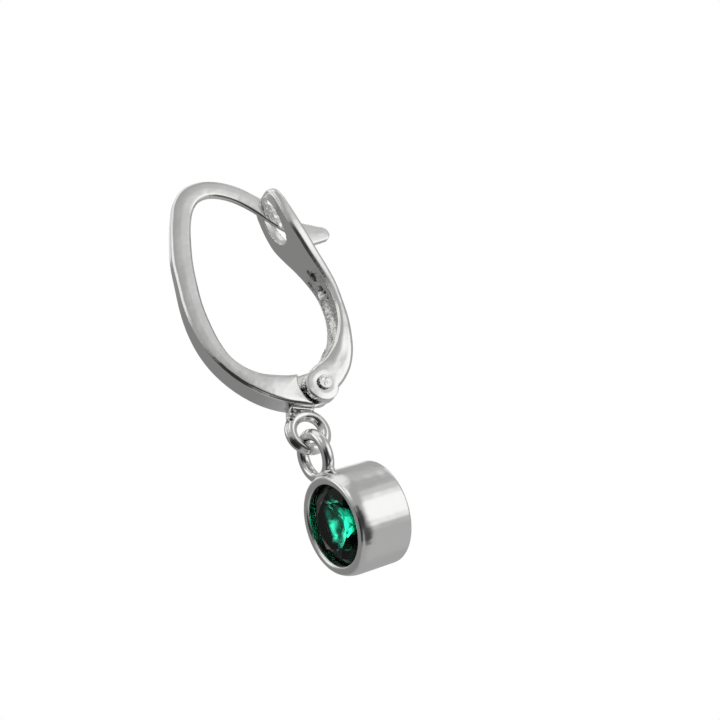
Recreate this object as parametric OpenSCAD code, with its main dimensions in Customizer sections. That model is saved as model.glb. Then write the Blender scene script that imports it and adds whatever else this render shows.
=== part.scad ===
/* [Hoop] */
// Height of the closed hoop over all, from the solder line to the top of the arch
hoop_high = 16.2; // [15.8:0.1:17]
// Depth of the closed hoop over all, from the front band to the back of the lever
hoop_deep = 10.1; // [9.9:0.1:10.8]
// Width of the hoop's band in front of the hinge
band_wide = 1.70; // [1.5:0.02:1.8]
// Width of the ear post at the back of the arch
post_wide = 0.50; // [0.44:0.02:0.6]

/* [Hinge] */
// Radius of the rivet's shank
pin_r = 0.30; // [0.25:0.01:0.35]
// Radius of the rivet's heads
head_r = 0.44; // [0.38:0.02:0.5]
// Radius of the lever's round ears
ear_r = 1.03; // [0.9:0.01:1.1]
// Thickness of the tang between the ears
tang_thick = 0.38; // [0.34:0.02:0.5]
// Running clearance between pin and holes, and between tang and ears
running_gap = 0.04; // [0.02:0.01:0.06]

/* [Lever] */
// Width of the lever's channel at the hinge
channel_wide = 1.56; // [1.4:0.02:1.8]
// Width of the spoon-shaped plate at its widest
plate_wide = 3.10; // [2.8:0.05:3.4]
// Width of the slot in the plate
slot_wide = 1.65; // [1.5:0.05:1.9]
// Length of the slot in the plate
slot_long = 3.22; // [3:0.02:3.4]
// Thickness of the thumb tab
tab_thick = 0.46; // [0.4:0.02:0.7]

/* [Rings] */
// Radius of the upper ring, to the middle of its wire
upper_ring_r = 1.065; // [1.02:0.005:1.1]
// Radius of the lower ring, to the middle of its wire
lower_ring_r = 1.285; // [1.25:0.005:1.32]
// Radius of the upper ring's wire
upper_wire_r = 0.375; // [0.36:0.005:0.42]
// Radius of the lower ring's wire
wire_r = 0.35; // [0.32:0.01:0.36]

/* [Setting] */
// Outer radius of the cup
cup_r = 3.03; // [2.95:0.01:3.1]
// Depth of the cup, front to back
cup_deep = 3.40; // [3.3:0.02:3.6]
// Radius of the opening inside the rolled rim
opening_r = 2.35; // [2.3:0.01:2.38]
// Radius of the stone's girdle
girdle_r = 2.46; // [2.44:0.01:2.48]
// Radius of the stone's table, to its corners
table_r = 1.42; // [1.2:0.02:1.6]

/* [Hidden] */
$fn = 64;

// The shapes are drawn about the rivet's axis, which runs along X through y 0, z 0, and are then
// moved so that the origin lies under the arch, where the post sits in the ear.
seat_y = -1.15;
seat_z = 13.93;

// The tables below are drawn for a hoop 16.2 mm high and 10.1 mm deep and follow the real sizes.
y_scale = hoop_deep / 10.1;
z_scale = hoop_high / 16.2;
steps = 5;
corner_steps = 3;

band_half = band_wide / 2;
post_half = post_wide / 2;
channel_half = channel_wide / 2;
plate_half = plate_wide / 2;
tang_half = tang_thick / 2;
ear_inner = tang_half + running_gap;
tang_r = 1.04;
recess_r = 1.66;
far_ear_r = ear_r - 0.13;
ear_y = -0.15;
ear_z = -0.07;
slot_front_y = 2.30 * y_scale;
slot_draft_deep = 1.40;
slot_draft = [1.32, 1.10];
hole_r = pin_r + running_gap;
head_thick = 0.10;
head_gap = 0.02;

// Hoop sections from the hinge round the front and over the arch to the post's tip:
// outer edge y, outer edge z, inner edge y, inner edge z, half width, edge radius
hoop_rows = [
    [-1.16, -1.19, -1.21,  1.01, band_half * 0.92, 0.20],
    [-2.03, -0.85, -1.98,  1.13, band_half * 0.95, 0.20],
    [-3.12, -0.28, -2.79,  1.41, band_half * 0.98, 0.22],
    [-4.14,  0.54, -3.47,  1.72, band_half * 0.96, 0.22],
    [-5.05,  1.66, -4.16,  2.31, band_half * 0.90, 0.20],
    [-5.72,  3.00, -4.73,  3.21, band_half * 0.84, 0.18],
    [-6.07,  4.37, -4.93,  4.37, band_half * 0.75, 0.16],
    [-6.13,  5.78, -4.92,  5.62, band_half * 0.68, 0.15],
    [-5.98,  7.19, -4.77,  6.99, band_half * 0.58, 0.14],
    [-5.64,  8.70, -4.43,  8.45, band_half * 0.52, 0.14],
    [-5.28, 10.16, -4.06,  9.73, band_half * 0.46, 0.14],
    [-4.76, 11.46, -3.55, 11.04, band_half * 0.40, 0.14],
    [-4.15, 12.75, -3.03, 12.18, band_half * 0.36, 0.14],
    [-3.37, 14.03, -2.44, 13.12, band_half * 0.33, 0.14],
    [-2.36, 14.84, -1.79, 13.71, band_half * 0.32, 0.14],
    [-1.11, 15.06, -1.09, 13.94, band_half * 0.32, 0.13],
    [ 0.14, 14.81, -0.28, 13.78, post_half * 1.01, 0.13],
    [ 1.24, 14.20,  0.56, 13.30, post_half * 0.91, 0.11],
    [ 2.13, 13.38,  1.34, 12.53, post_half * 0.82, 0.10],
    [ 2.68, 12.72,  2.04, 11.62, post_half * 0.76, 0.09],
    [ 3.10, 12.10,  2.67, 10.76, post_half * 0.66, 0.08],
    [ 3.34, 11.40,  3.10, 10.30, post_half * 0.56, 0.08]
];

// Lever sections from the hinge up to the top of the plate:
// back edge y, back edge z, front edge y, front edge z, half width, edge radius
lever_rows = [
    [-0.40, -0.86, -0.56, 0.83, channel_half - 0.01, 0.10],
    [ 0.10, -0.88, -0.05, 1.14, channel_half - 0.01, 0.14],
    [ 0.84, -0.52,  0.47, 1.33, channel_half - 0.01, 0.18],
    [ 1.49, -0.15,  0.92, 1.55, channel_half * 1.03, 0.22],
    [ 2.21,  0.46,  1.38, 1.86, channel_half * 1.14, 0.26],
    [ 2.82,  1.34,  1.88, 2.27, channel_half * 1.27, 0.28],
    [ 3.25,  2.32,  2.38, 2.88, channel_half * 1.33, 0.28],
    [ 3.60,  3.39,  2.83, 3.66, channel_half * 1.33, 0.26],
    [ 3.83,  4.57,  3.16, 4.68, plate_half * 0.66,  0.24],
    [ 3.95,  5.90,  3.31, 5.90, plate_half * 0.70,  0.20],
    [ 3.88,  7.10,  3.18, 7.00, plate_half * 0.75,  0.20],
    [ 3.70,  8.20,  2.95, 8.10, plate_half * 0.84,  0.20],
    [ 3.50,  9.20,  2.72, 9.08, plate_half * 0.98,  0.20],
    [ 3.31, 10.19,  2.50, 10.11, plate_half * 1.08, 0.20],
    [ 3.21, 11.18,  2.44, 11.13, plate_half * 1.09, 0.20],
    [ 3.16, 12.07, 2.44, 12.02, plate_half * 1.06, 0.24],
    [ 3.14, 12.66, 2.42, 12.64, plate_half * 0.97, 0.28],
    [ 3.10, 13.02, 2.46, 13.00, plate_half * 0.80, 0.27],
    [ 3.00, 13.19, 2.52, 13.17, plate_half * 0.52, 0.17]
];

// Hollow of the lever's channel, from the hinge up to where its floor meets the plate:
// floor y, floor z, mouth y, mouth z, half width, edge radius
hollow_rows = [
    [0.80, -0.12, 0.30, 1.75, ear_inner + 0.04,   0.05],
    [1.30,  0.26, 0.65, 2.05, ear_inner + 0.05,   0.06],
    [1.95,  0.93, 1.12, 2.35, channel_half - 0.26, 0.08],
    [2.50,  1.62, 1.58, 2.72, channel_half - 0.08, 0.10],
    [2.92,  2.50, 2.05, 3.22, channel_half + 0.01, 0.12],
    [3.26,  3.48, 2.50, 3.90, channel_half + 0.03, 0.12],
    [3.48,  4.58, 2.82, 4.78, channel_half + 0.02, 0.12],
    [3.56,  5.70, 2.92, 5.75, channel_half - 0.02, 0.12],
    [3.44,  6.60, 2.88, 6.60, channel_half - 0.06, 0.12],
    [3.10,  7.35, 2.78, 7.30, channel_half - 0.08, 0.10]
];

// Where the slot, the tab and the rings lie
slot_z = 11.39 * z_scale;
tab_y = 5.30 * y_scale;
tab_z = 9.67 * z_scale;
tab_r = 0.48;
upper_ring_y = -2.12;
upper_ring_z = -2.36;
drop_y = -2.35;
lower_ring_z = upper_ring_z - 0.23 - lower_ring_r;
solder_wide = 0.60;

// How far the drop hangs tipped and turned about the top of its ring, in degrees
drop_tip = -2.5;
drop_turn = 3.5;

// The cup, from its front face
cup_front = drop_y - 0.98;
cup_z = lower_ring_z - lower_ring_r - cup_r + 0.11;
roll_r = 0.36;
roll_deep = 0.90;
back_edge = 0.07;
mouth_roll_r = 0.20;
lip_z = 0.54;
seat_r = girdle_r + 0.04;
seat_back_z = 0.78;
hollow_back_z = 3.06;
hollow_back_r = 0.30;

// The stone, from the table down
stone_gap = 0.02;
crown_high = 0.60;
girdle_thick = 0.10;
pavilion_deep = 2.08;
star_r = 1.92;
lower_r = 1.05;

function spline(a, b, c, d, t) =
    0.5 * (2 * b + (c - a) * t + (2 * a - 5 * b + 4 * c - d) * t * t + (3 * b - a - 3 * c + d) * t * t * t);

function smooth(rows, n) = concat(
    [for (i = [0 : len(rows) - 2], k = [0 : n - 1])
        spline(rows[max(i - 1, 0)], rows[i], rows[i + 1], rows[min(i + 2, len(rows) - 1)], k / n)],
    [rows[len(rows) - 1]]);

// One ring of points round a section: a rectangle with round corners, across X and along the row's edge
function section(row, side) =
    let (
        p = [row[0] * y_scale, row[1] * z_scale],
        q = [row[2] * y_scale, row[3] * z_scale],
        mid = (p + q) / 2,
        half = norm(p - q) / 2,
        way = (p - q) / (2 * half),
        r = min(row[5], half * 0.95, row[4] * 0.95)
    )
    [for (corner = [0 : 3], k = [0 : corner_steps])
        let (
            a = corner * 90 + k * 90 / corner_steps,
            sx = (corner == 0 || corner == 3) ? 1 : -1,
            sv = corner < 2 ? 1 : -1,
            x = sx * (row[4] - r) + r * cos(a),
            v = sv * (half - r) + r * sin(a),
            at = mid + way * v
        )
        [side * x, at[0], at[1]]];

// The closed surface over a table's sections; side is 1 or -1, for a row that runs up or down the outline
module skin(rows, side) {
    rings = [for (row = smooth(rows, steps)) section(row, side)];
    m = len(rings[0]);
    n = len(rings);
    polyhedron(
        points = [for (ring = rings) each ring],
        faces = concat(
            [[for (k = [0 : m - 1]) k]],
            [for (i = [0 : n - 2], k = [0 : m - 1], half = [0, 1])
                let (a = i * m + k, b = i * m + (k + 1) % m)
                half == 0 ? [a, a + m, b] : [b, a + m, b + m]],
            [[for (k = [m - 1 : -1 : 0]) (n - 1) * m + k]]),
        convexity = 6);
}

// A flat outline in the Y and Z directions, given width along X
module across(wide) {
    rotate([90, 0, 90]) linear_extrude(wide, center = true) children();
}

// A round bar along X
module bar(r, wide) {
    rotate([0, 90, 0]) cylinder(r = r, h = wide, center = true);
}

module wire_ring(r, wire) {
    rotate_extrude() translate([r, 0]) circle(wire);
}

module at_rest() {
    translate([0, -seat_y * y_scale, -seat_z * z_scale]) children();
}

// The drop as it hangs from the upper ring
module hanging() {
    pivot_z = lower_ring_z + lower_ring_r;
    at_rest() translate([0, drop_y, pivot_z]) rotate([drop_tip, 0, drop_turn])
        translate([0, -drop_y, -pivot_z]) children();
}

module hoop() {
    color("silver") at_rest() difference() {
        union() {
            difference() {
                skin(hoop_rows, -1);
                for (side = [-1, 1])
                    translate([side * (tang_half + 1), 0, 0]) bar(recess_r, 2);
            }
            across(tang_thick) {
                circle(tang_r);
                polygon([[-1.95, 1.06], [-0.30, 1.05], [0, -tang_r], [-1.10, -1.10], [-1.95, -0.76]]);
            }
            translate([0, upper_ring_y, upper_ring_z]) rotate([0, 90, 0])
                wire_ring(upper_ring_r, upper_wire_r);
            // Solder fills the corner between the ring's shoulders and the hoop
            across(solder_wide)
                polygon([[-2.58, -0.44], [-3.22, -1.78], [-2.80, -1.45], [-1.60, -1.38], [-1.08, -1.20],
                    [-1.14, -0.80]]);
        }
        bar(hole_r, 3);
    }
}

module lever() {
    color("silver") at_rest() union() {
        difference() {
            union() {
                skin(lever_rows, 1);
                translate([channel_half / 2, ear_y, ear_z]) bar(ear_r, channel_half);
                translate([-channel_half / 2, ear_y, ear_z]) bar(far_ear_r, channel_half);
            }
            skin(hollow_rows, 1);
            bar(ear_r + 0.20, 2 * ear_inner);
            bar(hole_r, 3);
            // The slot widens towards the back of the plate, as a cast opening does
            translate([0, slot_front_y, slot_z]) rotate([-90, 0, 0])
                linear_extrude(slot_draft_deep, scale = slot_draft, slices = 1)
                    polygon([for (a = [0 : 10 : 350]) [slot_wide / 2 * cos(a), slot_long / 2 * sin(a)]]);
        }
        // The thumb tab stands on the plate just below the slot and clears the post's tip above it
        across(tab_thick) {
            translate([tab_y, tab_z]) circle(tab_r);
            polygon([[tab_y - 1.82, tab_z - 0.59], [tab_y - 2.17, tab_z - 0.14], [tab_y - 1.76, tab_z + 0.06],
                [tab_y - 1.78, tab_z + 1.40], [tab_y + 0.12, tab_z + tab_r * 0.97],
                [tab_y - 0.06, tab_z - tab_r]]);
        }
    }
}

module hinge_rivet() {
    color("gainsboro") at_rest() union() {
        bar(pin_r, channel_wide + 2 * head_gap + head_thick);
        for (side = [-1, 1])
            translate([side * (channel_half + head_gap + head_thick / 2), 0, 0]) bar(head_r, head_thick);
    }
}

module cup_profile() {
    difference() {
        // The shoulder is a quarter of an ellipse, deeper than it is wide
        polygon(concat([[0, 0]],
            [for (a = [90 : -9 : 0]) [cup_r - roll_r * (1 - cos(a)), roll_deep * (1 - sin(a))]],
            [[cup_r, cup_deep - back_edge], [cup_r - back_edge, cup_deep], [0, cup_deep]]));
        translate([-1, -1]) square([1, cup_deep + 2]);
        polygon([[0, -1], [opening_r + mouth_roll_r, -1], [opening_r + mouth_roll_r, mouth_roll_r],
            [opening_r, mouth_roll_r], [opening_r, lip_z], [seat_r, lip_z], [seat_r, seat_back_z],
            [hollow_back_r, hollow_back_z], [0, hollow_back_z]]);
    }
    translate([opening_r + mouth_roll_r, mouth_roll_r]) circle(mouth_roll_r);
}

module bezel() {
    color("silver") hanging() union() {
        translate([0, cup_front, cup_z]) rotate([-90, 0, 0]) rotate_extrude() cup_profile();
        translate([0, drop_y, lower_ring_z]) rotate([90, 0, 0]) wire_ring(lower_ring_r, wire_r);
    }
}

function round_at(r, z, a) = [r * cos(a), r * sin(a), z];

module stone() {
    girdle_top = crown_high;
    girdle_low = crown_high + girdle_thick;
    culet = girdle_low + pavilion_deep;
    lean = cos(22.5);
    star_z = girdle_top * (star_r * lean - table_r) / (girdle_r - table_r);
    lower_z = culet - pavilion_deep * lower_r * lean / girdle_r;
    // table corners 0-7, star corners 8-15, upper girdle 16-31, lower girdle 32-47,
    // pavilion corners 48-55, culet 56
    points = concat(
        [for (k = [0 : 7]) round_at(table_r, 0, k * 45)],
        [for (k = [0 : 7]) round_at(star_r, star_z, k * 45 + 22.5)],
        [for (k = [0 : 15]) round_at(girdle_r, girdle_top, k * 22.5)],
        [for (k = [0 : 15]) round_at(girdle_r, girdle_low, k * 22.5)],
        [for (k = [0 : 7]) round_at(lower_r, lower_z, k * 45 + 22.5)],
        [[0, 0, culet]]);
    faces = concat(
        [[for (k = [0 : 7]) k]],
        [for (k = [0 : 7]) [k, 8 + k, (k + 1) % 8]],
        [for (k = [0 : 7]) [k, 8 + (k + 7) % 8, 16 + 2 * k, 8 + k]],
        [for (k = [0 : 7]) [8 + k, 16 + 2 * k, 17 + 2 * k]],
        [for (k = [0 : 7]) [8 + k, 17 + 2 * k, 16 + (2 * k + 2) % 16]],
        [for (k = [0 : 15]) [16 + k, 32 + k, 32 + (k + 1) % 16, 16 + (k + 1) % 16]],
        [for (k = [0 : 7]) [48 + k, 33 + 2 * k, 32 + 2 * k]],
        [for (k = [0 : 7]) [48 + k, 32 + (2 * k + 2) % 16, 33 + 2 * k]],
        [for (k = [0 : 7]) [56, 48 + k, 32 + 2 * k, 48 + (k + 7) % 8]]);
    color("seagreen", 0.8) hanging()
        translate([0, cup_front + stone_gap, cup_z]) rotate([-90, 0, 0])
            polyhedron(points = points, faces = faces, convexity = 2);
}

hoop();
lever();
hinge_rivet();
bezel();
stone();
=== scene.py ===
# %% [markdown]
# # A leverback earring in silver with a green stone
# The real earring is cast in silver: a hoop that ends in a thin ear post, and a lever that turns on
# a rivet at the bottom of the hoop and takes the post's tip in its slot. Two soldered rings link a
# round cup to the hoop, and the cup holds a faceted green stone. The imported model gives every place
# and size, so this script only has to make soft cast surfaces, finishes, light and a camera for it.

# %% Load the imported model
import math

import bmesh
import bpy
from mathutils import Matrix, Vector, kdtree, noise


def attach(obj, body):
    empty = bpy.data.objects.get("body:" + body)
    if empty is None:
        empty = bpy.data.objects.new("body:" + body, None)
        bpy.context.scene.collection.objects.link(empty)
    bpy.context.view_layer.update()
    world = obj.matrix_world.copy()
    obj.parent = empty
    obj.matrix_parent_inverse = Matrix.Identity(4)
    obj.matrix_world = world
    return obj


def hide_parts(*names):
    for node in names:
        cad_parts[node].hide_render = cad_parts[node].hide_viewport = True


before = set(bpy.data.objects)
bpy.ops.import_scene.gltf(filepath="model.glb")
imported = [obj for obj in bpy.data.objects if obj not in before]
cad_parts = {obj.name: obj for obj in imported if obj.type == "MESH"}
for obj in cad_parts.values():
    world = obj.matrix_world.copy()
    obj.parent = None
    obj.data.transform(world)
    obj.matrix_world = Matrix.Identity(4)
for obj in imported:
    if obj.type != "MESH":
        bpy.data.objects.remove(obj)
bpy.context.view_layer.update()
MM = 0.001

# %% [markdown]
# ## The camera
# The photograph was taken from below and from the side, with the picture turned, so that the inside
# of the lever shows behind the hoop. The camera's three directions are given in the model's own
# frame, with X along the hinge's rivet, Y towards the back of the lever and Z up.

# %% Place the camera
CAMERA_UP = Vector((0.463, 0.250, 0.850))
CAMERA_BACK = Vector((0.797, -0.538, -0.276))
CAMERA_PLACE_MM = Vector((64.676, -39.061, -35.415))
LENS_MM = 66.85
SENSOR_MM = 36
NEAREST_SEEN_MM = 1
FARTHEST_SEEN_MM = 10000

back = CAMERA_BACK.normalized()
right = CAMERA_UP.cross(back).normalized()
up = back.cross(right)
camera_data = bpy.data.cameras.new("camera")
camera_data.lens = LENS_MM
camera_data.sensor_width = SENSOR_MM
camera_data.clip_start = NEAREST_SEEN_MM * MM
camera_data.clip_end = FARTHEST_SEEN_MM * MM
camera = bpy.data.objects.new("camera", camera_data)
turn = Matrix((right, up, back)).transposed().to_4x4()
camera.matrix_world = Matrix.Translation(CAMERA_PLACE_MM * MM) @ turn
bpy.context.scene.collection.objects.link(camera)
bpy.context.scene.camera = camera
print("camera looks along", [round(v, 3) for v in -back])

# %% [markdown]
# ## Nodes and colours
# A material here is a few shader nodes. One function adds a node with its settings and links, and
# one turns a colour that is read as sRGB hex into the linear numbers that a shader works with. Three
# small ones stand for the nodes that come back most: a spread of a value over a new range, and a mix
# of two numbers or of two colours. A Mix node has its two numbers in inputs 2 and 3, and its two
# colours in inputs 6 and 7.

# %% Turn a colour into numbers
def linear(hex_colour):
    """An sRGB hex colour as linear red, green and blue, with an alpha of one."""
    parts = [int(hex_colour[start:start + 2], 16) / 255 for start in (1, 3, 5)]
    light = [part / 12.92 if part <= 0.04045 else ((part + 0.055) / 1.055) ** 2.4
             for part in parts]
    return (*light, 1.0)


print("half of sRGB is", round(linear("#808080")[0], 3), "to a shader")

# %% Make nodes and materials
def add_node(tree, kind, settings=None, links=None):
    """Adds a node. A key is an attribute of it, or the name or number of one of its inputs."""
    node = tree.nodes.new(kind)
    for key, value in (settings or {}).items():
        if isinstance(key, str) and hasattr(node, key):
            setattr(node, key, value)
        else:
            node.inputs[key].default_value = value
    for key, source in (links or {}).items():
        tree.links.new(source, node.inputs[key])
    return node


def new_material(name):
    """A material with an empty node tree and its output node."""
    material = bpy.data.materials.new(name)
    material.use_nodes = True
    tree = material.node_tree
    tree.nodes.clear()
    return material, tree, tree.nodes.new("ShaderNodeOutputMaterial")


def per_mm(size_mm):
    """The scale of a texture whose features are about size_mm across, on Object coordinates."""
    return 1 / (size_mm * MM)


print("a texture with features of 1 mm has the scale", per_mm(1))

# %% Define the nodes that come back most
def spread(tree, value, old, new=(0.0, 1.0), interpolation="LINEAR"):
    """Spreads a linked value's old range over a new one, and holds it inside that."""
    settings = {"interpolation_type": interpolation, 1: old[0], 2: old[1], 3: new[0], 4: new[1]}
    return add_node(tree, "ShaderNodeMapRange", settings, {0: value}).outputs[0]


def mix_numbers(tree, share, first, second):
    """Mixes a linked value, first, with a plain number, second."""
    return add_node(tree, "ShaderNodeMix", {3: second}, {0: share, 2: first}).outputs[0]


def mix_colours(tree, share, first, second):
    """Mixes first, a hex colour or a linked one, with second, a hex colour."""
    settings = {"data_type": "RGBA", 7: linear(second)}
    links = {0: share}
    if isinstance(first, str):
        settings[6] = linear(first)
    else:
        links[6] = first
    return add_node(tree, "ShaderNodeMix", settings, links).outputs[2]


print("helpers for nodes:", spread.__name__, mix_numbers.__name__, mix_colours.__name__)

# %% [markdown]
# ## Polished cast silver
# Silver has almost no colour of its own, so what the eye reads is the room reflected in it. Casting
# leaves a slightly wavy skin that polishing softens but doesn't flatten, and handling leaves a faint
# haze. Where the tool couldn't reach, inside the lever's channel, the skin is still as cast: dull,
# and finely pitted. All this could be painted on a map, but a noise on the piece's own coordinates
# has no seams. The attribute "as_cast" says how dull a point is, and above one half also how
# pitted. A second attribute holds painted shade: how much a dent, a crease or a gap, where shade
# falls, is darkened.

# %% Make the silver
POLISHED_COLOUR = "#f1f1f0"
PIT_COLOUR = "#cbcac8"
# the colour of the painted shade in dents, creases and gaps
PAINTED_SHADE_COLOUR = "#2c2a29"
HAZE_SIZE_MM = 0.7
HAZE_NOISE = (0.3, 0.75)
HAZE_SPREAD = 0.08
CAST_ROUGHNESS = 0.33
PITTED_ABOVE = 0.5
PIT_SIZE_MM = 0.22
PIT_NOISE = (0.40, 0.50)
PIT_DEEP_MM = 0.035


def silver_finish(name, wave_mm, wave_deep_mm, haze):
    """Silver with waves of a given width and depth, whose roughness starts at haze."""
    material, tree, output = new_material(name)
    place = add_node(tree, "ShaderNodeTexCoord").outputs["Object"]
    as_cast = add_node(tree, "ShaderNodeAttribute", {"attribute_name": "as_cast"}).outputs["Fac"]
    painted_shade = add_node(tree, "ShaderNodeAttribute", {"attribute_name": "painted_shade"}).outputs["Fac"]
    haze_noise = add_node(tree, "ShaderNodeTexNoise", {"Scale": per_mm(HAZE_SIZE_MM), "Detail": 4.0},
                          {"Vector": place}).outputs["Fac"]
    polished_roughness = spread(tree, haze_noise, HAZE_NOISE, (haze, haze + HAZE_SPREAD))
    roughness = mix_numbers(tree, as_cast, polished_roughness, CAST_ROUGHNESS)
    pits = add_node(tree, "ShaderNodeTexNoise",
                    {"Scale": per_mm(PIT_SIZE_MM), "Detail": 5.0, "Roughness": 0.6},
                    {"Vector": place}).outputs["Fac"]
    pit_mask = spread(tree, pits, PIT_NOISE, (1.0, 0.0))
    raw = spread(tree, as_cast, (PITTED_ABOVE, 1.0))
    dull = add_node(tree, "ShaderNodeMath", {"operation": "MULTIPLY"},
                    {0: pit_mask, 1: raw}).outputs[0]
    skin = mix_colours(tree, dull, POLISHED_COLOUR, PIT_COLOUR)
    # painted shade darkens the colour in dents, creases and gaps
    colour = mix_colours(tree, painted_shade, skin, PAINTED_SHADE_COLOUR)
    wave = add_node(tree, "ShaderNodeTexNoise", {"Scale": per_mm(wave_mm), "Detail": 2.0},
                    {"Vector": place}).outputs["Fac"]
    wave_bump = add_node(tree, "ShaderNodeBump", {"Distance": wave_deep_mm * MM},
                         {"Height": wave}).outputs["Normal"]
    bump = add_node(tree, "ShaderNodeBump", {"Distance": PIT_DEEP_MM * MM},
                    {"Height": pits, "Strength": raw, "Normal": wave_bump}).outputs["Normal"]
    shader = add_node(tree, "ShaderNodeBsdfPrincipled", {"Metallic": 1.0},
                      {"Base Color": colour, "Roughness": roughness, "Normal": bump})
    tree.links.new(shader.outputs[0], output.inputs["Surface"])
    return material


cast_silver = silver_finish("polished cast silver", wave_mm=1.5, wave_deep_mm=0.05, haze=0.09)
turned_silver = silver_finish("polished cup silver", wave_mm=1.8, wave_deep_mm=0.06, haze=0.08)
print("materials:", cast_silver.name, "and", turned_silver.name)

# %% [markdown]
# ## The green stone
# The stone is dark at its border, where its facets look into the closed cup, and bright emerald in
# the middle, where light that came through the table is sent back. Paint could give both, but it
# would look the same from every side, and a cut stone doesn't. So glass with a green body gives the
# middle, and painted shade gives the border: a colour that darkens away from the stone's axis. The
# glass reflects only a little, because a pale room would lie over the green as a grey film.

# %% Make the stone's material
STONE_MIDDLE_MM = Vector((0.25, -2.45, -22.0))
STONE_AXIS = Vector((0.061, -0.997, 0.044))
BORDER_FROM_MM = 1.25
BORDER_TO_MM = 1.75
MIDDLE_COLOUR = "#ffffff"
# the painted shade at the stone's border
BORDER_SHADE_COLOUR = "#030805"
GLINT_COLOUR = "#303230"
BODY_COLOUR = "#00fdea"
BODY_DENSITY = 620.0
GLASS_IOR = 1.55


def gem_finish(name):
    """Green glass, with painted shade that darkens its border round the stone's axis."""
    material, tree, output = new_material(name)
    place = add_node(tree, "ShaderNodeTexCoord").outputs["Object"]
    from_middle = add_node(tree, "ShaderNodeVectorMath",
                           {"operation": "SUBTRACT", 1: STONE_MIDDLE_MM * MM},
                           {0: place}).outputs[0]
    across = add_node(tree, "ShaderNodeVectorMath", {"operation": "CROSS_PRODUCT", 1: STONE_AXIS},
                      {0: from_middle}).outputs[0]
    radius = add_node(tree, "ShaderNodeVectorMath", {"operation": "LENGTH"},
                      {0: across}).outputs["Value"]
    # painted shade: the colour darkens towards the girdle
    border_shade = spread(tree, radius, (BORDER_FROM_MM * MM, BORDER_TO_MM * MM),
                    interpolation="SMOOTHSTEP")
    colour = mix_colours(tree, border_shade, MIDDLE_COLOUR, BORDER_SHADE_COLOUR)
    shader = add_node(tree, "ShaderNodeBsdfPrincipled",
                      {"Roughness": 0.0, "IOR": GLASS_IOR, "Specular Tint": linear(GLINT_COLOUR),
                       "Transmission Weight": 1.0}, {"Base Color": colour})
    tree.links.new(shader.outputs[0], output.inputs["Surface"])
    body = add_node(tree, "ShaderNodeVolumeAbsorption",
                    {"Color": linear(BODY_COLOUR), "Density": BODY_DENSITY})
    tree.links.new(body.outputs[0], output.inputs["Volume"])
    return material


green_gem = gem_finish("green gemstone")
print("material:", green_gem.name)

# %% [markdown]
# ## Soft cast metal
# A CAD solid has hard edges where two shapes meet. A cast and polished piece has none: every edge is
# rounded and every soldered joint has a small fillet. A Bevel modifier would round the plain edges,
# but it makes no fillet and can tear where curved shapes meet. So the solid gets an even skin of
# small faces from a voxel remesh, which is then relaxed a little. The work is done in millimetres,
# because a remesh is happier with numbers near one, and the result goes back to metres.

# %% Define the skin of soft cast metal
WELD_DISTANCE = 1e-8
RELAX_SHARE = 0.5


def soft_cast(name, node, voxel_mm, relax):
    """A new piece over a node's solid, with faces of voxel_mm, relaxed so many times."""
    shape = bmesh.new()
    shape.from_mesh(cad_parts[node].data)
    bmesh.ops.remove_doubles(shape, verts=shape.verts, dist=WELD_DISTANCE)
    bmesh.ops.scale(shape, vec=(1 / MM,) * 3, verts=shape.verts)
    mesh = bpy.data.meshes.new(name)
    shape.to_mesh(mesh)
    shape.free()
    piece = bpy.data.objects.new(name, mesh)
    bpy.context.scene.collection.objects.link(piece)
    remesh = piece.modifiers.new("skin", "REMESH")
    remesh.mode = "VOXEL"
    remesh.voxel_size = voxel_mm
    remesh.use_smooth_shade = True
    bpy.context.view_layer.update()
    skinned = piece.evaluated_get(bpy.context.evaluated_depsgraph_get())
    fine = bpy.data.meshes.new_from_object(skinned)
    piece.modifiers.clear()
    shape = bmesh.new()
    shape.from_mesh(fine)
    for _ in range(relax):
        bmesh.ops.smooth_vert(shape, verts=shape.verts, factor=RELAX_SHARE,
                              use_axis_x=True, use_axis_y=True, use_axis_z=True)
    bmesh.ops.scale(shape, vec=(MM,) * 3, verts=shape.verts)
    for face in shape.faces:
        face.smooth = True
    shape.to_mesh(piece.data)
    shape.free()
    bpy.data.meshes.remove(fine)
    print(name, "has", len(piece.data.polygons), "faces")
    return piece


print("the hoop's solid has", len(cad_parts["hoop"].data.polygons), "faces before its skin")

# %% [markdown]
# ## Small changes to a skin
# Every change below opens a piece's mesh, moves or marks some of its points, and closes it again. A
# dent is an uneven round spot whose edge follows a fine noise, and painted shade darkens it inside. A
# dent with a depth of zero is a patch of painted shade alone, and one with a depth below zero is a
# raised spot without shade.
# Sculpting by hand would do the same, but a short list of spots can be read, measured and changed.

# %% Define the dents, and how a piece is dressed
RAGGED_SHARE = 0.8
RAGGED_SIZE_MM = 0.11


def open_mesh(piece):
    """The piece's mesh, opened for changes, with fresh normals."""
    shape = bmesh.new()
    shape.from_mesh(piece.data)
    shape.normal_update()
    return shape


def close_mesh(shape, piece):
    """Puts the changed mesh back in its piece."""
    shape.to_mesh(piece.data)
    shape.free()


def held(value):
    """The value, held between 0 and 1."""
    return min(max(value, 0), 1)


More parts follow.
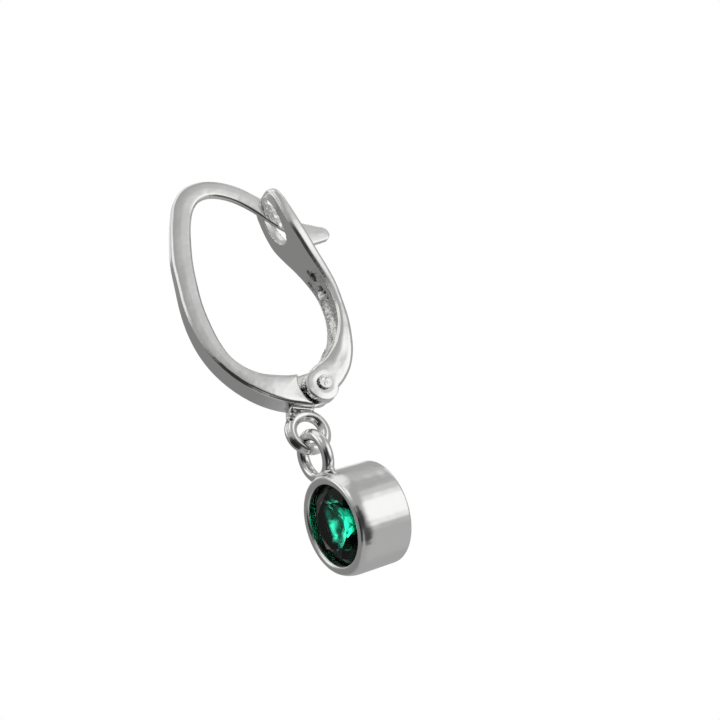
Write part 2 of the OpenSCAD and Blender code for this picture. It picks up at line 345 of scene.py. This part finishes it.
def mark_and_dent(piece, dents):
    """Adds the finish and painted shade attributes, and the dents: x, y, z, radius and depth in mm.
    """
    for name in ("as_cast", "painted_shade"):
        piece.data.attributes.new(name, "FLOAT", "POINT")
    shape = open_mesh(piece)
    painted_shade = shape.verts.layers.float["painted_shade"]
    for x, y, z, radius, depth in dents:
        middle = Vector((x, y, z)) * MM
        for vert in shape.verts:
            near = 1 - (vert.co - middle).length_squared / (radius * MM) ** 2
            if near > -1:
                near = min(near + RAGGED_SHARE * noise.noise(vert.co / (RAGGED_SIZE_MM * MM)), 1)
            if near > 0:
                # painted shade inside a dent, or on a patch without depth; none on a raised spot
                vert[painted_shade] = max(vert[painted_shade], near * (depth >= 0))
                vert.co -= vert.normal * depth * MM * near * near
    close_mesh(shape, piece)
    print(piece.name, "dents:", len(dents))


def dress(piece, material, body, slot, *nodes):
    """Gives a piece its material and body, and hides the nodes it stands for; slot is not used."""
    piece.data.materials.clear()
    piece.data.materials.append(material)
    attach(piece, body)
    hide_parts(*nodes)


print("a dent's ragged edge has lumps of", RAGGED_SIZE_MM, "mm")

# %% [markdown]
# ## Faces that polishing has rounded
# A buffing wheel takes more off a face near its edges, so the flat sides of the hoop and the lever
# bulge by a few hundredths of a millimetre. That is too little to see as a shape, but a mirror shows
# it: each side runs softly from grey to white. A tree of the points on the edges gives every point
# of a side its distance from the nearest edge, and the nearer it is, the more it sinks.

# %% Define the rounding of the sides
CROWN_MM = 0.045
CROWN_REACH_MM = 0.78
SIDE_FACING = 0.6


def crown_sides(piece):
    """Sinks the sides that face along X, towards their edges."""
    shape = open_mesh(piece)
    shape.verts.ensure_lookup_table()
    rim = [vert.co.copy() for vert in shape.verts if abs(vert.normal.x) < SIDE_FACING]
    tree = kdtree.KDTree(len(rim))
    for index, place in enumerate(rim):
        tree.insert(place, index)
    tree.balance()
    for vert in shape.verts:
        near_edge = abs(vert.normal.x) / SIDE_FACING
        if near_edge >= 1:
            near_edge = max(1 - tree.find(vert.co)[2] / (CROWN_REACH_MM * MM), 0)
        vert.co -= vert.normal * CROWN_MM * MM * near_edge ** 2
    close_mesh(shape, piece)
    print(piece.name, "points on its edges:", len(rim))


print("a side sinks by up to", CROWN_MM, "mm at its edge")

# %% [markdown]
# ## The hoop
# The thin post was filed by hand to fit the lever's slot, and its sides are uneven from there to the
# tip: a soft noise moves them, and fades in along the post. Where the solder of the upper ring meets
# the hoop, a crease with pits was left, and painted shade darkens the pits.

# %% Define the filed post
FILED_FROM_Y_MM = 3.1
FILED_FADE_MM = 0.5
FILED_FACING = 0.5
FILED_RELIEF_MM = 0.045
FILED_LUMP_MM = 0.42
# how slowly the finer lumps fade, how much finer each is than the last, and how many there are
FILED_NOISE = (0.8, 2.0, 2)
POST_ABOVE_Z_MM = -6


def file_post(piece):
    """Makes the sides of the post uneven, near its tip."""
    shape = open_mesh(piece)
    moved = 0
    for vert in shape.verts:
        x, y, z = vert.co / MM
        sideways = max(abs(vert.normal.x) - FILED_FACING, 0) / (1 - FILED_FACING)
        filed = held((y - FILED_FROM_Y_MM) / FILED_FADE_MM) * sideways
        if z > POST_ABOVE_Z_MM and filed > 0:
            lump = noise.fractal(Vector((x, y, z)) / FILED_LUMP_MM, *FILED_NOISE)
            vert.co += vert.normal * lump * FILED_RELIEF_MM * MM * filed
            moved += 1
    close_mesh(shape, piece)
    print(piece.name, "filed points:", moved)


print("the post is filed from y", FILED_FROM_Y_MM, "mm")

# %% Skin the hoop
# dents in the solder crease, each darkened inside with painted shade
# x, y, z, radius and depth, in mm
SOLDER_DENTS = [
    (0.31, -1.38, -14.83, 0.17, 0.10),
    (0.31, -1.58, -15.12, 0.18, 0.10),
    (0.32, -1.44, -14.54, 0.12, 0.06),
    (0.32, -1.74, -15.30, 0.14, 0.07),
]
hoop = soft_cast("hoop_cast", "hoop", voxel_mm=0.042, relax=5)
crown_sides(hoop)
file_post(hoop)
mark_and_dent(hoop, SOLDER_DENTS)
dress(hoop, cast_silver, "hoop", "silver", "hoop")

# %% [markdown]
# ## The rivet
# The rivet's near head was closed with a few light blows that left low raised spots, and painted
# shade darkens its edge nearest the gap.

# %% Skin the rivet
# x, y, z, radius and depth, in mm
RIVET_BLOWS_AND_SHADE = [
    (0.90, 1.05, -13.72, 0.16, -0.012),
    (0.90, 1.30, -13.85, 0.17, -0.014),
    (0.90, 1.12, -14.12, 0.16, -0.012),
    # patches of painted shade at the head's edge nearest the gap
    (0.86, 0.78, -13.72, 0.11, 0.0),
    (0.86, 0.73, -13.88, 0.10, 0.0),
]
rivet = soft_cast("rivet_cast", "hinge_rivet", voxel_mm=0.02, relax=5)
mark_and_dent(rivet, RIVET_BLOWS_AND_SHADE)
dress(rivet, cast_silver, "hoop", "silver", "hinge_rivet")

# %% [markdown]
# ## The lever's channel
# Inside the lever's channel the cast skin was never polished: it is lumpy, with pits near its top
# that painted shade darkens. Bump in the material alone would leave the channel's outline smooth,
# and the skin is fine enough to carry real relief. A short table says where the channel's floor lies
# and how wide it is, and every point inside it is marked "as_cast" and moved by a noise. Below the
# plate the floor also rises towards its walls in a soft fillet. The lever's upper part, with the flat
# plate, was polished less than the rest, so it is marked too, but only up to one half.

# %% Define the channel
# height on the lever, y of the channel's floor, half width of the channel, all in mm
CHANNEL_FLOOR = [
    (-14.05, 1.95, 0.27),
    (-13.00, 3.10, 0.52),
    (-12.31, 3.65, 0.70),
    (-11.43, 4.07, 0.79),
    (-10.45, 4.41, 0.81),
    (-9.35, 4.63, 0.80),
    (-8.23, 4.71, 0.76),
    (-7.33, 4.59, 0.72),
    (-6.58, 4.25, 0.70),
]


def between(rows, z):
    """The row of a table at height z, with its numbers worked out between the nearest rows."""
    z = min(max(z, rows[0][0]), rows[-1][0])
    for low, high in zip(rows, rows[1:]):
        if z <= high[0]:
            share = (z - low[0]) / (high[0] - low[0])
            return [a + (b - a) * share for a, b in zip(low, high)]


print("the channel is", round(CHANNEL_FLOOR[-1][0] - CHANNEL_FLOOR[0][0], 2), "mm high")

# %% Define the rough skin of the channel
PLATE_DULLNESS = 0.5
PLATE_DULL_FROM_Z_MM = -9.5
PLATE_FADE_MM = 2
MOUTH_FADE_MM = 0.05
WALL_SLACK_MM = 0.03
FLOOR_SLACK_MM = 0.06
WALL_FROM = 0.5
WALL_WEIGHT = 0.9
FACING_GAIN = 2.5
LUMPS_PER_MM = 3.2
LUMP_NOISE = (0.6, 2.0, 4)
RELIEF_MM = 0.022
FLOOR_FILLET_MM = 0.30
FILLET_FROM = 0.25
FILLET_TOP_Z_MM = -7.0


def roughen_channel(piece):
    """Marks and roughens the channel's inside, and gives its floor a fillet at each wall."""
    shape = open_mesh(piece)
    layer = shape.verts.layers.float["as_cast"]
    marked = 0
    for vert in shape.verts:
        x, y, z = vert.co / MM
        vert[layer] = PLATE_DULLNESS * held((z - PLATE_DULL_FROM_Z_MM) / PLATE_FADE_MM)
        if not CHANNEL_FLOOR[0][0] < z < CHANNEL_FLOOR[-1][0]:
            continue
        _, floor_y, half_wide = between(CHANNEL_FLOOR, z)
        inside = min(half_wide + WALL_SLACK_MM - abs(x), floor_y + FLOOR_SLACK_MM - y)
        by_the_wall = abs(x) > WALL_FROM * half_wide
        facing = -vert.normal.y + WALL_WEIGHT * abs(vert.normal.x) * by_the_wall
        amount = held(inside / MOUTH_FADE_MM) * held(facing * FACING_GAIN)
        if amount <= 0:
            continue
        vert[layer] = amount
        marked += 1
        lumps = noise.fractal(Vector((x, y, z)) * LUMPS_PER_MM, *LUMP_NOISE)
        vert.co += vert.normal * lumps * RELIEF_MM * MM * amount
        beside = max(abs(x) / half_wide - FILLET_FROM, 0) / (1 - FILLET_FROM)
        fillet = beside * beside * amount * held(FILLET_TOP_Z_MM - z) * max(-vert.normal.y, 0)
        vert.co.y -= FLOOR_FILLET_MM * MM * fillet
    close_mesh(shape, piece)
    print("points left as cast:", marked)


print("the cast skin is rough by", RELIEF_MM, "mm")

# %% [markdown]
# ## The lever
# The dents and raised spots at the top of the channel are casting flaws, of different sizes, and
# painted shade darkens the dents. The rim of the near ear lies deep in the gap between it and the
# hoop, where shade falls, so a row of spots of painted shade follows that rim, and two more lie in
# the gap itself.

# %% Skin the lever
# dents darkened inside with painted shade, and raised spots without it
# x, y, z, radius and depth, in mm
CHANNEL_DENTS = [
    (-0.06, 4.25, -6.51, 0.19, 0.07),
    (-0.03, 4.36, -6.82, 0.32, 0.16),
    (-0.20, 4.46, -7.06, 0.24, 0.12),
    (-0.22, 4.62, -7.42, 0.15, -0.06),
    (-0.27, 4.68, -7.72, 0.24, 0.13),
    (-0.15, 4.70, -8.07, 0.16, 0.08),
    (-0.15, 4.70, -8.27, 0.12, -0.05),
    (-0.15, 4.71, -8.48, 0.15, 0.06),
]
# patches of painted shade deep in the gap between the near ear and the hoop
GAP_SHADE = [
    (0.50, 0.00, -14.06, 0.17, 0.0),
    (0.52, 0.07, -14.26, 0.15, 0.0),
]
EAR_Y_MM = 1.00
EAR_Z_MM = -14.00
EAR_RADIUS_MM = 1.03
EAR_INSIDE_X_MM = 0.27
EAR_SHADE_RADIUS_MM = 0.18
EAR_SHADE_DEGREES = range(-16, 62, 6)

# a row of patches of painted shade along the near ear's rim, in the gap
ear_rim_shade = []
for degrees in EAR_SHADE_DEGREES:
    angle = math.radians(degrees)
    rim_y = EAR_Y_MM - EAR_RADIUS_MM * math.cos(angle)
    rim_z = EAR_Z_MM - EAR_RADIUS_MM * math.sin(angle)
    ear_rim_shade.append((EAR_INSIDE_X_MM, rim_y, rim_z, EAR_SHADE_RADIUS_MM, 0.0))
lever = soft_cast("lever_cast", "lever", voxel_mm=0.042, relax=5)
crown_sides(lever)
mark_and_dent(lever, CHANNEL_DENTS + ear_rim_shade + GAP_SHADE)
roughen_channel(lever)
dress(lever, cast_silver, "lever", "silver", "lever")

# %% [markdown]
# ## The cup
# The cup is a little less polished than its ring: its side shows softer reflections. Whatever lies
# further from the stone's axis than the cup does is the ring, which stays bright.

# %% Skin the bezel
CUP_REACH_MM = 3.12
CUP_HAZE = 0.38
CUP_FADE_MM = 0.1


def haze_cup(piece):
    """Marks the cup as less polished than the ring on top of it."""
    shape = open_mesh(piece)
    layer = shape.verts.layers.float["as_cast"]
    for vert in shape.verts:
        reach = (vert.co / MM - STONE_MIDDLE_MM).cross(STONE_AXIS).length
        vert[layer] = CUP_HAZE * held((CUP_REACH_MM - reach) / CUP_FADE_MM + 0.5)
    close_mesh(shape, piece)


bezel = soft_cast("bezel_cast", "bezel", voxel_mm=0.052, relax=4)
mark_and_dent(bezel, [])
haze_cup(bezel)
dress(bezel, turned_silver, "drop", "silver", "bezel")

# %% [markdown]
# ## The stone's own solid
# A cut stone has sharp edges between flat facets, so the solid is used as it is, and only gets its
# material.

# %% Dress the stone
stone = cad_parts["stone"]
stone.data.materials.clear()
stone.data.materials.append(green_gem)
print("dressed", stone.name)

# %% [markdown]
# ## Light
# What the silver shows is a pale room: bright above, behind and to the right, dimmer in front and
# darkest low down round the camera. Lamps would leave small hard highlights and black silver
# between them, so the room is painted on the world, as round patches, some bright and some dark,
# which give soft reflections from any side. Each patch has an azimuth from the front towards the
# right, an elevation, an inner and an outer half angle, all in degrees, and a level. A patch covers
# the ones before it, and its edge is soft between the two half angles.

# %% Paint the room's light
# azimuth, elevation, inner half angle, outer half angle, level
LIGHT_PATCHES = [
    (-50, -1, 28, 62, 0.24),
    (22, -17, 17, 37, 0.02),
    (170, -60, 18, 42, 0.46),
    (88, -52, 13, 27, 0.06),
    (68, -14, 16, 30, 0.04),
    (132, 14, 6, 26, 0.62),
    (127, -8, 13, 32, 1.08),
    (172, 38, 7, 17, 0.95),
    (-8, 42, 8, 24, 1.10),
    (52, 46, 8, 20, 1.00),
    (-92, 43, 5, 14, 0.85),
    (-122, 20, 6, 17, 1.0),
    (0, 90, 18, 38, 0.90),
]
BASE_LEVEL = 0.40


def toward(azimuth, elevation):
    """The direction at an azimuth and an elevation in degrees."""
    turned = math.radians(azimuth)
    raised = math.radians(elevation)
    level_part = math.cos(raised)
    return (math.sin(turned) * level_part, -math.cos(turned) * level_part, math.sin(raised))


world = bpy.data.worlds.new("studio")
bpy.context.scene.world = world
world.use_nodes = True
sky = world.node_tree
sky.nodes.clear()
direction = add_node(sky, "ShaderNodeTexCoord").outputs["Generated"]
level = add_node(sky, "ShaderNodeValue").outputs[0]
level.default_value = BASE_LEVEL
for azimuth, elevation, inner, outer, patch_level in LIGHT_PATCHES:
    closeness = add_node(sky, "ShaderNodeVectorMath",
                         {"operation": "DOT_PRODUCT", 1: toward(azimuth, elevation)},
                         {0: direction}).outputs["Value"]
    patch_edge = (math.cos(math.radians(outer)), math.cos(math.radians(inner)))
    mask = spread(sky, closeness, patch_edge, interpolation="SMOOTHSTEP")
    level = mix_numbers(sky, mask, level, patch_level)
print("light patches:", len(LIGHT_PATCHES))

# %% [markdown]
# ## Light through the stone
# The stone of the photograph glows more than such a small room would make it, so the rays that have
# passed through it meet a room that is three times as bright and never dark. The camera itself sees
# a plain white backdrop in place of the room.

# %% Light the stone and hang the backdrop
STONE_BOOST = 3.0
STONE_LEAST = 2.3

through = add_node(sky, "ShaderNodeLightPath").outputs["Is Transmission Ray"]
boost = spread(sky, through, (0.0, 1.0), (1.0, STONE_BOOST))
least = spread(sky, through, (0.0, 1.0), (0.0, STONE_LEAST))
level = add_node(sky, "ShaderNodeMath", {"operation": "MULTIPLY_ADD"},
                 {0: level, 1: boost, 2: least}).outputs[0]
room = add_node(sky, "ShaderNodeBackground", {"Color": (1, 1, 1, 1)},
                {"Strength": level}).outputs[0]
backdrop = add_node(sky, "ShaderNodeBackground",
                    {"Color": (1, 1, 1, 1), "Strength": 1.0}).outputs[0]
seen = add_node(sky, "ShaderNodeLightPath").outputs["Is Camera Ray"]
both = add_node(sky, "ShaderNodeMixShader", {}, {0: seen, 1: room, 2: backdrop}).outputs[0]
add_node(sky, "ShaderNodeOutputWorld", {}, {"Surface": both})
bpy.context.scene.view_settings.view_transform = "Standard"
print("nodes of the world:", len(sky.nodes))

# %% [markdown]
# ## The floor
# The earring hangs, so the floor is a plain pale disc below it, outside the photograph's view. It
# glows a little, so that it stays pale from every side, and the silver doesn't reflect it.

# %% Lay the floor
FLOOR_Z = -50 * MM
FLOOR_RADIUS = 70 * MM
FLOOR_SEGMENTS = 96
FLOOR_COLOUR = "#f4f4f4"
FLOOR_ROUGHNESS = 0.6
FLOOR_GLOW = 0.35

disc = bmesh.new()
bmesh.ops.create_circle(disc, cap_ends=True, radius=FLOOR_RADIUS, segments=FLOOR_SEGMENTS)
bmesh.ops.translate(disc, vec=(0, 0, FLOOR_Z), verts=disc.verts)
floor_mesh = bpy.data.meshes.new("floor")
disc.to_mesh(floor_mesh)
disc.free()
floor = bpy.data.objects.new("floor", floor_mesh)
bpy.context.scene.collection.objects.link(floor)
floor_paint, floor_tree, floor_output = new_material("pale floor")
paint = add_node(floor_tree, "ShaderNodeBsdfPrincipled",
                 {"Base Color": linear(FLOOR_COLOUR), "Roughness": FLOOR_ROUGHNESS,
                  "Emission Color": (1, 1, 1, 1), "Emission Strength": FLOOR_GLOW})
floor_tree.links.new(paint.outputs[0], floor_output.inputs["Surface"])
floor.data.materials.append(floor_paint)
floor.visible_glossy = False
print("floor at", FLOOR_Z)

# %% Finish
print("finished")
